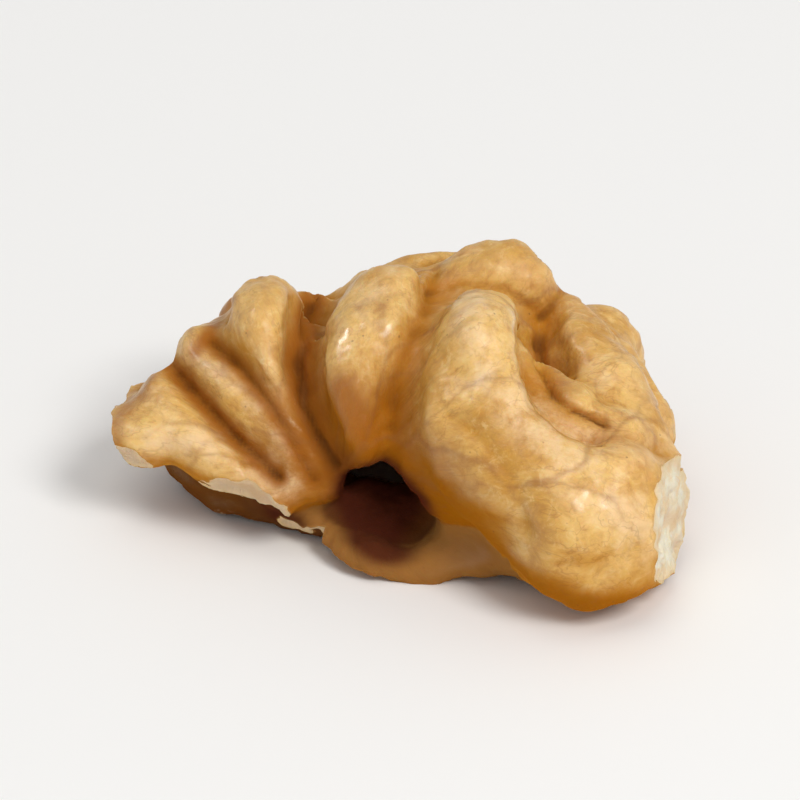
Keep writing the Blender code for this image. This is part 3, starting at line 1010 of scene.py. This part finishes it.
def mark_surface(kernel):
    """Raises the veins, and keeps on the mesh where it dips, hides, tears or carries a vein."""
    mesh = kernel.data
    places, normals = vertex_arrays(mesh)
    flesh, rim = torn_vertices(mesh)
    veins = vein_mark(mesh, places, flesh)
    veins[flesh] = 0.0
    places = places + normals * (VEIN_RISE * veins)[:, None]
    set_places(mesh, places)
    ends = edge_ends(mesh)
    soft = evened(places, ends, FINE_DIP_ROUNDS)
    softer = evened(soft, ends, WIDE_DIP_ROUNDS)
    keep_mark(mesh, "veins", veins)
    keep_mark(mesh, "fine_dip", faded("fine_dip", ((soft - places) * normals).sum(axis=1), ends))
    keep_mark(mesh, "wide_dip", ((softer - places) * normals).sum(axis=1))
    mark_hollows(mesh, places, normals, ends)
    mark_front(mesh, places, front_share(normals))
    keep_mark(mesh, "torn_rim", faded("torn_rim", rim.astype(float), ends))
    keep_mark(mesh, "near_rim", faded("near_rim", rim.astype(float), ends))
    # Where the surface faces down, which the skin and flesh colours turn into painted shade.
    down = smooth_step(0.3, -0.7, normals[:, 2])
    keep_mark(mesh, "facing_down", faded("facing_down", down, ends))


def crisp_tears(mesh):
    """All faces are shaded smooth, and the line between skin and flesh stays sharp."""
    bm = bmesh.new()
    bm.from_mesh(mesh)
    for face in bm.faces:
        face.smooth = True
    for edge in bm.edges:
        if len(edge.link_faces) == 2:
            edge.smooth = edge.link_faces[0].material_index == edge.link_faces[1].material_index
    bm.to_mesh(mesh)
    bm.free()


def add(tree, kind, inputs=None, **settings):
    """A node of that kind. Its inputs are numbers, colours or what other nodes give."""
    node = tree.nodes.new(kind)
    for name, value in settings.items():
        setattr(node, name, value)
    for name, value in (inputs or {}).items():
        if isinstance(value, bpy.types.NodeSocket):
            tree.links.new(value, node.inputs[name])
        else:
            node.inputs[name].default_value = value
    return node


def colour_mix(tree, share, under, over, mode="MIX"):
    """The colour over laid on the colour under by that share."""
    node = tree.nodes.new("ShaderNodeMix")
    node.data_type = "RGBA"
    node.blend_type = mode
    for index, value in ((0, share), (6, under), (7, over)):
        if isinstance(value, bpy.types.NodeSocket):
            tree.links.new(value, node.inputs[index])
        else:
            node.inputs[index].default_value = value
    return node.outputs[2]


def ramp(tree, value, low, high, start=0.0, end=1.0):
    """A soft step from start to end as the value goes from low to high."""
    node = add(
        tree,
        "ShaderNodeMapRange",
        {"Value": value, "From Min": low, "From Max": high, "To Min": start, "To Max": end},
        interpolation_type="SMOOTHSTEP",
    )
    return node.outputs["Result"]


def maths(tree, operation, first, second=0.0):
    """What that operation makes of one or two values, which are numbers or what nodes give."""
    node = tree.nodes.new("ShaderNodeMath")
    node.operation = operation
    for index, value in enumerate((first, second)):
        if isinstance(value, bpy.types.NodeSocket):
            tree.links.new(value, node.inputs[index])
        else:
            node.inputs[index].default_value = value
    return node.outputs[0]


def product(tree, first, *others):
    """All of the values multiplied together."""
    for other in others:
        first = maths(tree, "MULTIPLY", first, other)
    return first


def tinted(tree, colour, value, low, high, most, tint):
    """The colour under a tint whose share grows to the most as the value goes from low to high."""
    return colour_mix(tree, ramp(tree, value, low, high, 0.0, most), colour, tint)


def mark(tree, name):
    """What the mesh keeps under that name."""
    return add(tree, "ShaderNodeAttribute", attribute_name=name).outputs["Fac"]


def millimetres(tree, stretch=(1.0, 1.0, 1.0)):
    """The place on the piece in millimetres, stretched along its axes."""
    place = add(tree, "ShaderNodeTexCoord").outputs["Object"]
    scale = [share / MM for share in stretch]
    return add(tree, "ShaderNodeMapping", {"Vector": place, "Scale": scale}).outputs["Vector"]


def spots(tree, place, per_mm, detail=4.0, roughness=0.55, distortion=0.0):
    """Cloudy noise with so many waves to the millimetre."""
    inputs = {
        "Vector": place,
        "Scale": per_mm,
        "Detail": detail,
        "Roughness": roughness,
        "Distortion": distortion,
    }
    return add(tree, "ShaderNodeTexNoise", inputs).outputs["Fac"]


def drawn_out(tree, place, root, turns, along_share):
    """Places that run out from the root, so that a pattern on them is drawn into streaks."""
    out = add(tree, "ShaderNodeVectorMath", {0: place, 1: root}, operation="SUBTRACT").outputs[0]
    way = add(tree, "ShaderNodeVectorMath", {0: out}, operation="NORMALIZE").outputs[0]
    wide = add(tree, "ShaderNodeVectorMath", {0: way, "Scale": turns}, operation="SCALE").outputs[0]
    near = add(tree, "ShaderNodeVectorMath", {0: out, "Scale": along_share}, operation="SCALE")
    return add(
        tree, "ShaderNodeVectorMath", {0: wide, 1: near.outputs[0]}, operation="ADD"
    ).outputs[0]


def fine_lines(tree, place, per_mm, width):
    """Thin lines that wander where cloudy noise passes its middle."""
    cloud = spots(tree, place, per_mm, 2.5, 0.6, 0.3)
    off = maths(tree, "ABSOLUTE", maths(tree, "SUBTRACT", cloud, 0.5))
    return ramp(tree, off, width, 0.0)


def plain_skin(tree, place, root):
    """Honey and straw patches with rosy clouds, drawn-out streaks and fine mottling."""
    patches = spots(tree, place, 0.17, 3.0)
    rosy = spots(tree, place, 0.31, 4.0, 0.6)
    colour = tinted(tree, HONEY, patches, 0.36, 0.62, 1.0, STRAW)
    colour = tinted(tree, colour, rosy, 0.5, 0.72, 0.55, ROSY_TAN)
    streaks = spots(tree, drawn_out(tree, place, root, 14.0, 0.35), 1.0, 5.0, 0.62)
    colour = tinted(tree, colour, streaks, 0.45, 0.72, 0.5, STREAK_BROWN)
    colour = tinted(tree, colour, streaks, 0.46, 0.28, 0.3, PALE_STRAW)
    mottle = spots(tree, place, 1.1, 7.0, 0.72, 0.6)
    colour = tinted(tree, colour, mottle, 0.48, 0.7, 0.55, MOTTLE_BROWN)
    return tinted(tree, colour, mottle, 0.5, 0.3, 0.5, PALE_STRAW)


def lay_of_the_folds(tree, colour, place):
    """Pale tops as a painted highlight; amber flanks and undersides and brown furrows as painted
    shade.
    """
    wide = mark(tree, "wide_dip")
    # Painted highlight: the rounded tops turn pale straw.
    colour = tinted(tree, colour, wide, -0.15, -0.9, 0.5, PALE_STRAW)
    # Painted shade: the wide valleys turn amber.
    colour = tinted(tree, colour, wide, -0.1, 0.45, 0.75, SHADE_AMBER)
    # Painted shade: where the skin faces down it turns amber.
    colour = tinted(tree, colour, mark(tree, "facing_down"), 0.05, 0.75, 0.85, SHADE_AMBER)
    # Painted shade: the folds turn deep amber towards the arch.
    colour = tinted(tree, colour, mark(tree, "arch"), 0.15, 0.72, 0.85, DEEP_SHADE_AMBER)
    cloud = spots(tree, place, 0.55, 5.0, 0.65)
    # Paler along the drawn lines: partly paler skin and partly a painted highlight.
    pale = product(tree, mark(tree, "pale"), ramp(tree, cloud, 0.66, 0.34, 0.25, 1.1))
    colour = tinted(tree, colour, pale, 0.05, 0.9, 0.75, PALE_ROSE)
    # Painted shade: deep amber along the drawn lines.
    colour = tinted(tree, colour, mark(tree, "amber"), 0.1, 0.9, 0.85, DEEP_SHADE_AMBER)
    # Painted shade: the furrows turn orange brown.
    colour = tinted(tree, colour, mark(tree, "furrow_shade"), 0.12, 0.85, 0.9, FURROW_SHADE_ORANGE)
    # Painted shade: the winding grooves at the back turn rust brown, in patches.
    winding = product(tree, mark(tree, "winding"), ramp(tree, cloud, 0.3, 0.6, 0.55, 1.0))
    colour = tinted(tree, colour, winding, 0.1, 0.9, 0.8, GROOVE_SHADE_RUST)
    # Painted shade: the bottoms of the fine creases turn dark brown.
    return tinted(tree, colour, mark(tree, "fine_dip"), 0.03, 0.2, 0.8, CREASE_SHADE_BROWN)


def vein_lines(tree, colour, place, root):
    """The branching veins, with finer lines between them."""
    where = ramp(tree, spots(tree, place, 0.35, 3.0), 0.42, 0.6, 0.25, 1.0)
    faint = fine_lines(tree, drawn_out(tree, place, root, 9.0, 0.5), 0.8, 0.022)
    colour = colour_mix(tree, product(tree, faint, where, 0.3), colour, VEIN_BROWN)
    return tinted(tree, colour, mark(tree, "veins"), 0.02, 0.8, 0.5, VEIN_BROWN)


def dark_specks(tree, colour, place):
    """A small brown dot in a few of the cells that the skin falls into."""
    dots = add(tree, "ShaderNodeTexVoronoi", {"Vector": place, "Scale": 1.7}).outputs
    draw = add(tree, "ShaderNodeSeparateColor", {"Color": dots["Color"]}).outputs["Red"]
    few = ramp(tree, draw, 0.86, 0.88)
    speck = product(tree, ramp(tree, dots["Distance"], 0.15, 0.05), few, 0.5)
    return colour_mix(tree, speck, colour, SPECK_BROWN)


def rubbed_tops(tree, colour, place):
    """Cream where the sharpest tops away from the arch are rubbed bare, in patches."""
    tops = ramp(tree, mark(tree, "fine_dip"), -0.04, -0.13)
    patches = ramp(tree, spots(tree, place, 0.75, 5.0, 0.65), 0.56, 0.66)
    away = ramp(tree, mark(tree, "arch"), 0.8, 0.5)
    return colour_mix(tree, product(tree, tops, patches, away, 0.85), colour, RUBBED_CREAM)


def skin_colour(tree, place, root):
    """The skin from its plain colours up to the painted shade of the arch and hollows, and the pale
    rubbed tops.
    """
    colour = lay_of_the_folds(tree, plain_skin(tree, place, root), place)
    colour = vein_lines(tree, colour, place, root)
    colour = dark_specks(tree, colour, place)
    # Painted shade: the skin next to the arch turns dark brown.
    colour = tinted(tree, colour, mark(tree, "arch"), 0.78, 1.0, 0.7, ARCH_SHADE_BROWN)
    # Painted shade: the inner margin and the inner wall turn brown.
    colour = tinted(tree, colour, mark(tree, "margin"), 0.2, 0.9, 0.8, MARGIN_SHADE_BROWN)
    colour = tinted(tree, colour, mark(tree, "wall"), 0.2, 0.9, 0.85, WALL_SHADE_BROWN)
    # Painted shade over a darker inner skin: the hollows turn near black.
    colour = tinted(tree, colour, mark(tree, "hollow"), 0.1, 0.9, 0.92, HOLLOW_SHADE_BROWN)
    colour = rubbed_tops(tree, colour, place)
    return tinted(tree, colour, mark(tree, "torn_rim"), 0.08, 0.5, 0.45, RIM_BROWN)


def open_tops(tree):
    """1 on the open tops of the folds, less in the furrows, and 0 in the hollows."""
    furrow = ramp(tree, mark(tree, "fine_dip"), 0.08, 0.0)
    dip = ramp(tree, mark(tree, "wide_dip"), 0.4, -0.1, 0.35, 1.0)
    arch = ramp(tree, mark(tree, "arch"), 0.9, 0.5)
    # Less shine where the furrows carry painted shade.
    outside_furrows = ramp(tree, mark(tree, "furrow_shade"), 0.7, 0.1, 0.15, 1.0)
    open_air = ramp(tree, mark(tree, "hollow"), 0.4, 0.0)
    under = ramp(tree, mark(tree, "facing_down"), 0.5, 0.1)
    return product(tree, furrow, dip, arch, outside_furrows, open_air, under)


def set_finish(shader, roughness, specular):
    shader.inputs["Roughness"].default_value = roughness
    shader.inputs["Specular IOR Level"].default_value = specular


def set_glow(shader, weight, radius, depth):
    """Light goes in under the surface and comes out again beside the place."""
    shader.inputs["Subsurface Weight"].default_value = weight
    shader.inputs["Subsurface Radius"].default_value = radius
    shader.inputs["Subsurface Scale"].default_value = depth * MM


def set_grain(tree, shader, height, strength, rise):
    """The height, as a fine grain of the surface that the mesh is too coarse for."""
    inputs = {"Height": height, "Strength": strength, "Distance": rise * MM}
    bump = add(tree, "ShaderNodeBump", inputs)
    tree.links.new(bump.outputs["Normal"], shader.inputs["Normal"])


def set_shine(tree, shader, place):
    """Dull furrows, satin tops with smoother patches, and an oily coat on the oily spots."""
    shine = open_tops(tree)
    patches = ramp(tree, spots(tree, place, 0.42, 4.0), 0.36, 0.62)
    rough = maths(tree, "SUBTRACT", DULL_ROUGHNESS, product(tree, shine, TOPS_SMOOTHER))
    rough = maths(tree, "SUBTRACT", rough, product(tree, shine, patches, PATCHES_SMOOTHER))
    tree.links.new(rough, shader.inputs["Roughness"])
    tree.links.new(product(tree, shine, TOPS_SPECULAR), shader.inputs["Specular IOR Level"])
    coat = product(tree, shine, ramp(tree, mark(tree, "oily"), 0.0, 0.8, *OILY_COAT))
    tree.links.new(coat, shader.inputs["Coat Weight"])
    shader.inputs["Coat Roughness"].default_value = COAT_ROUGHNESS


def dress_skin(material, root):
    """The thin skin, with its colours, its shine and a grain that runs out from the root."""
    material.use_nodes = True
    tree = material.node_tree
    shader = tree.nodes["Principled BSDF"]
    place = millimetres(tree)
    tree.links.new(skin_colour(tree, place, root), shader.inputs["Base Color"])
    set_shine(tree, shader, place)
    set_glow(shader, *SKIN_GLOW)
    grain = spots(tree, drawn_out(tree, place, root, 34.0, 1.4), 1.0, 5.0, 0.62)
    fine_grain = spots(tree, place, 3.2, 5.0, 0.65)
    height = maths(tree, "ADD", grain, product(tree, fine_grain, 0.7))
    set_grain(tree, shader, height, *SKIN_GRAIN)


def dress_flesh(material):
    """Ivory, chalky where it is torn roughest, tan as painted shade underneath and yellowish towards
    the skin.
    """
    material.use_nodes = True
    tree = material.node_tree
    shader = tree.nodes["Principled BSDF"]
    place = millimetres(tree)
    clouds = spots(tree, place, 0.8, 5.0, 0.6)
    crumbs = spots(tree, place, 3.0, 5.0, 0.7)
    flakes = spots(tree, place, 1.4, 5.0, 0.6, 1.2)
    colour = tinted(tree, FLESH_CREAM, clouds, 0.36, 0.6, 1.0, FLESH_IVORY)
    colour = tinted(tree, colour, crumbs, 0.5, 0.7, 0.6, FLESH_CHALK)
    colour = tinted(tree, colour, flakes, 0.44, 0.3, 0.5, FLESH_SHADE)
    # Painted shade: where the torn flesh faces down it turns tan.
    colour = tinted(tree, colour, mark(tree, "facing_down"), 0.1, 0.5, 0.75, FLESH_UNDERSIDE_SHADE)
    colour = tinted(tree, colour, mark(tree, "near_rim"), 0.02, 0.22, 0.6, FLESH_CREAM)
    colour = tinted(tree, colour, mark(tree, "torn_rim"), 0.02, 0.5, 0.6, FLESH_YELLOW)
    tree.links.new(colour, shader.inputs["Base Color"])
    set_finish(shader, *FLESH_FINISH)
    set_glow(shader, *FLESH_GLOW)
    height = maths(tree, "ADD", crumbs, product(tree, flakes, 2.0))
    set_grain(tree, shader, height, *FLESH_GRAIN)


def plain_table():
    bm = bmesh.new()
    bmesh.ops.create_grid(bm, x_segments=1, y_segments=1, size=TABLE_SIZE / 2)
    table = object_from("table", bm)
    material = bpy.data.materials.new("table_white")
    material.use_nodes = True
    shader = material.node_tree.nodes["Principled BSDF"]
    shader.inputs["Base Color"].default_value = TABLE_WHITE
    set_finish(shader, *TABLE_FINISH)
    table.data.materials.append(material)


def softbox(name, azimuth, height_angle, distance, size, power, colour):
    """A square light that looks at the kernel from that azimuth and height."""
    light = bpy.data.lights.new(name, "AREA")
    light.shape = "SQUARE"
    light.size = size
    light.energy = power
    light.color = colour
    lamp = bpy.data.objects.new(name, light)
    way = from_angles(azimuth, height_angle)
    lamp.location = AIM + way * distance
    lamp.rotation_euler = way.to_track_quat("Z", "Y").to_euler()
    bpy.context.scene.collection.objects.link(lamp)


def from_angles(azimuth, height_angle):
    """The way to what stands at an azimuth, counted from the front to +X, and a height."""
    turn, rise = math.radians(azimuth), math.radians(height_angle)
    return Vector((math.sin(turn) * math.cos(rise), -math.cos(turn) * math.cos(rise), math.sin(rise)))


def light_studio():
    world = bpy.data.worlds.new("studio")
    world.use_nodes = True
    sky = world.node_tree.nodes["Background"]
    sky.inputs["Color"].default_value = SKY_COLOUR
    sky.inputs["Strength"].default_value = SKY_STRENGTH
    bpy.context.scene.world = world
    for name, how in SOFTBOXES.items():
        softbox(name, *how)
    bpy.data.objects[MIRRORED_LIGHT].visible_diffuse = False
    bpy.context.scene.view_settings.view_transform = "Standard"


def set_camera():
    lens = bpy.data.cameras.new("camera")
    lens.lens = FOCAL_LENGTH
    lens.clip_start = 0.01
    camera = bpy.data.objects.new("camera", lens)
    way = from_angles(*CAMERA_ANGLES)
    camera.location = AIM + way * CAMERA_DISTANCE
    camera.rotation_euler = way.to_track_quat("Z", "Y").to_euler()
    bpy.context.scene.collection.objects.link(camera)
    bpy.context.scene.camera = camera


def main():
    skin = bpy.data.materials.new("walnut_skin")
    flesh = bpy.data.materials.new("walnut_flesh")
    kernel = whole_kernel()
    fine_skin(kernel)
    tear_and_level(kernel, skin, flesh)
    mark_surface(kernel)
    shift = set_on_floor(kernel)
    crisp_tears(kernel.data)
    dress_skin(skin, tuple(np.array(VEIN_ROOT) + shift))
    dress_flesh(flesh)
    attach(kernel, "root")
    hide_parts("kernel")
    plain_table()
    light_studio()
    set_camera()


main()
